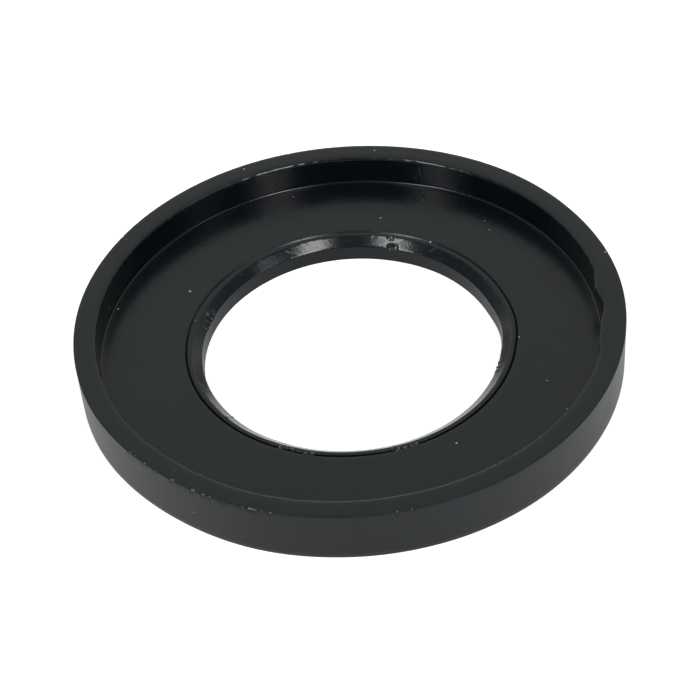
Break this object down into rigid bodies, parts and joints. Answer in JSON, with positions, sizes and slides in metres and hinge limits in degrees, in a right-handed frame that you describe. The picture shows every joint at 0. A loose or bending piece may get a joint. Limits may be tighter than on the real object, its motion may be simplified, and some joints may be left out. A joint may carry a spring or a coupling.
{
  "type": "toilet flange seal",
  "caption": "Moulded rubber ring that seals a toilet to its floor flange: a shallow dish with a raised rim and a bevelled round outlet hole.",
  "frame": {"origin": "centre of the outlet hole, on the plane of the underside", "axes": "+Z along the hole's axis, out of the open dish; +X and +Y are any two directions across the ring"},
  "size_m": [0.14, 0.14, 0.0142],
  "materials": {
    "moulded_rubber": "compression-moulded black rubber, satin on the faces and glossy where the mould was polished"
  },
  "bodies": {
    "root": {"seal_ring": "moulded_rubber"}
  },
  "joints": []
}
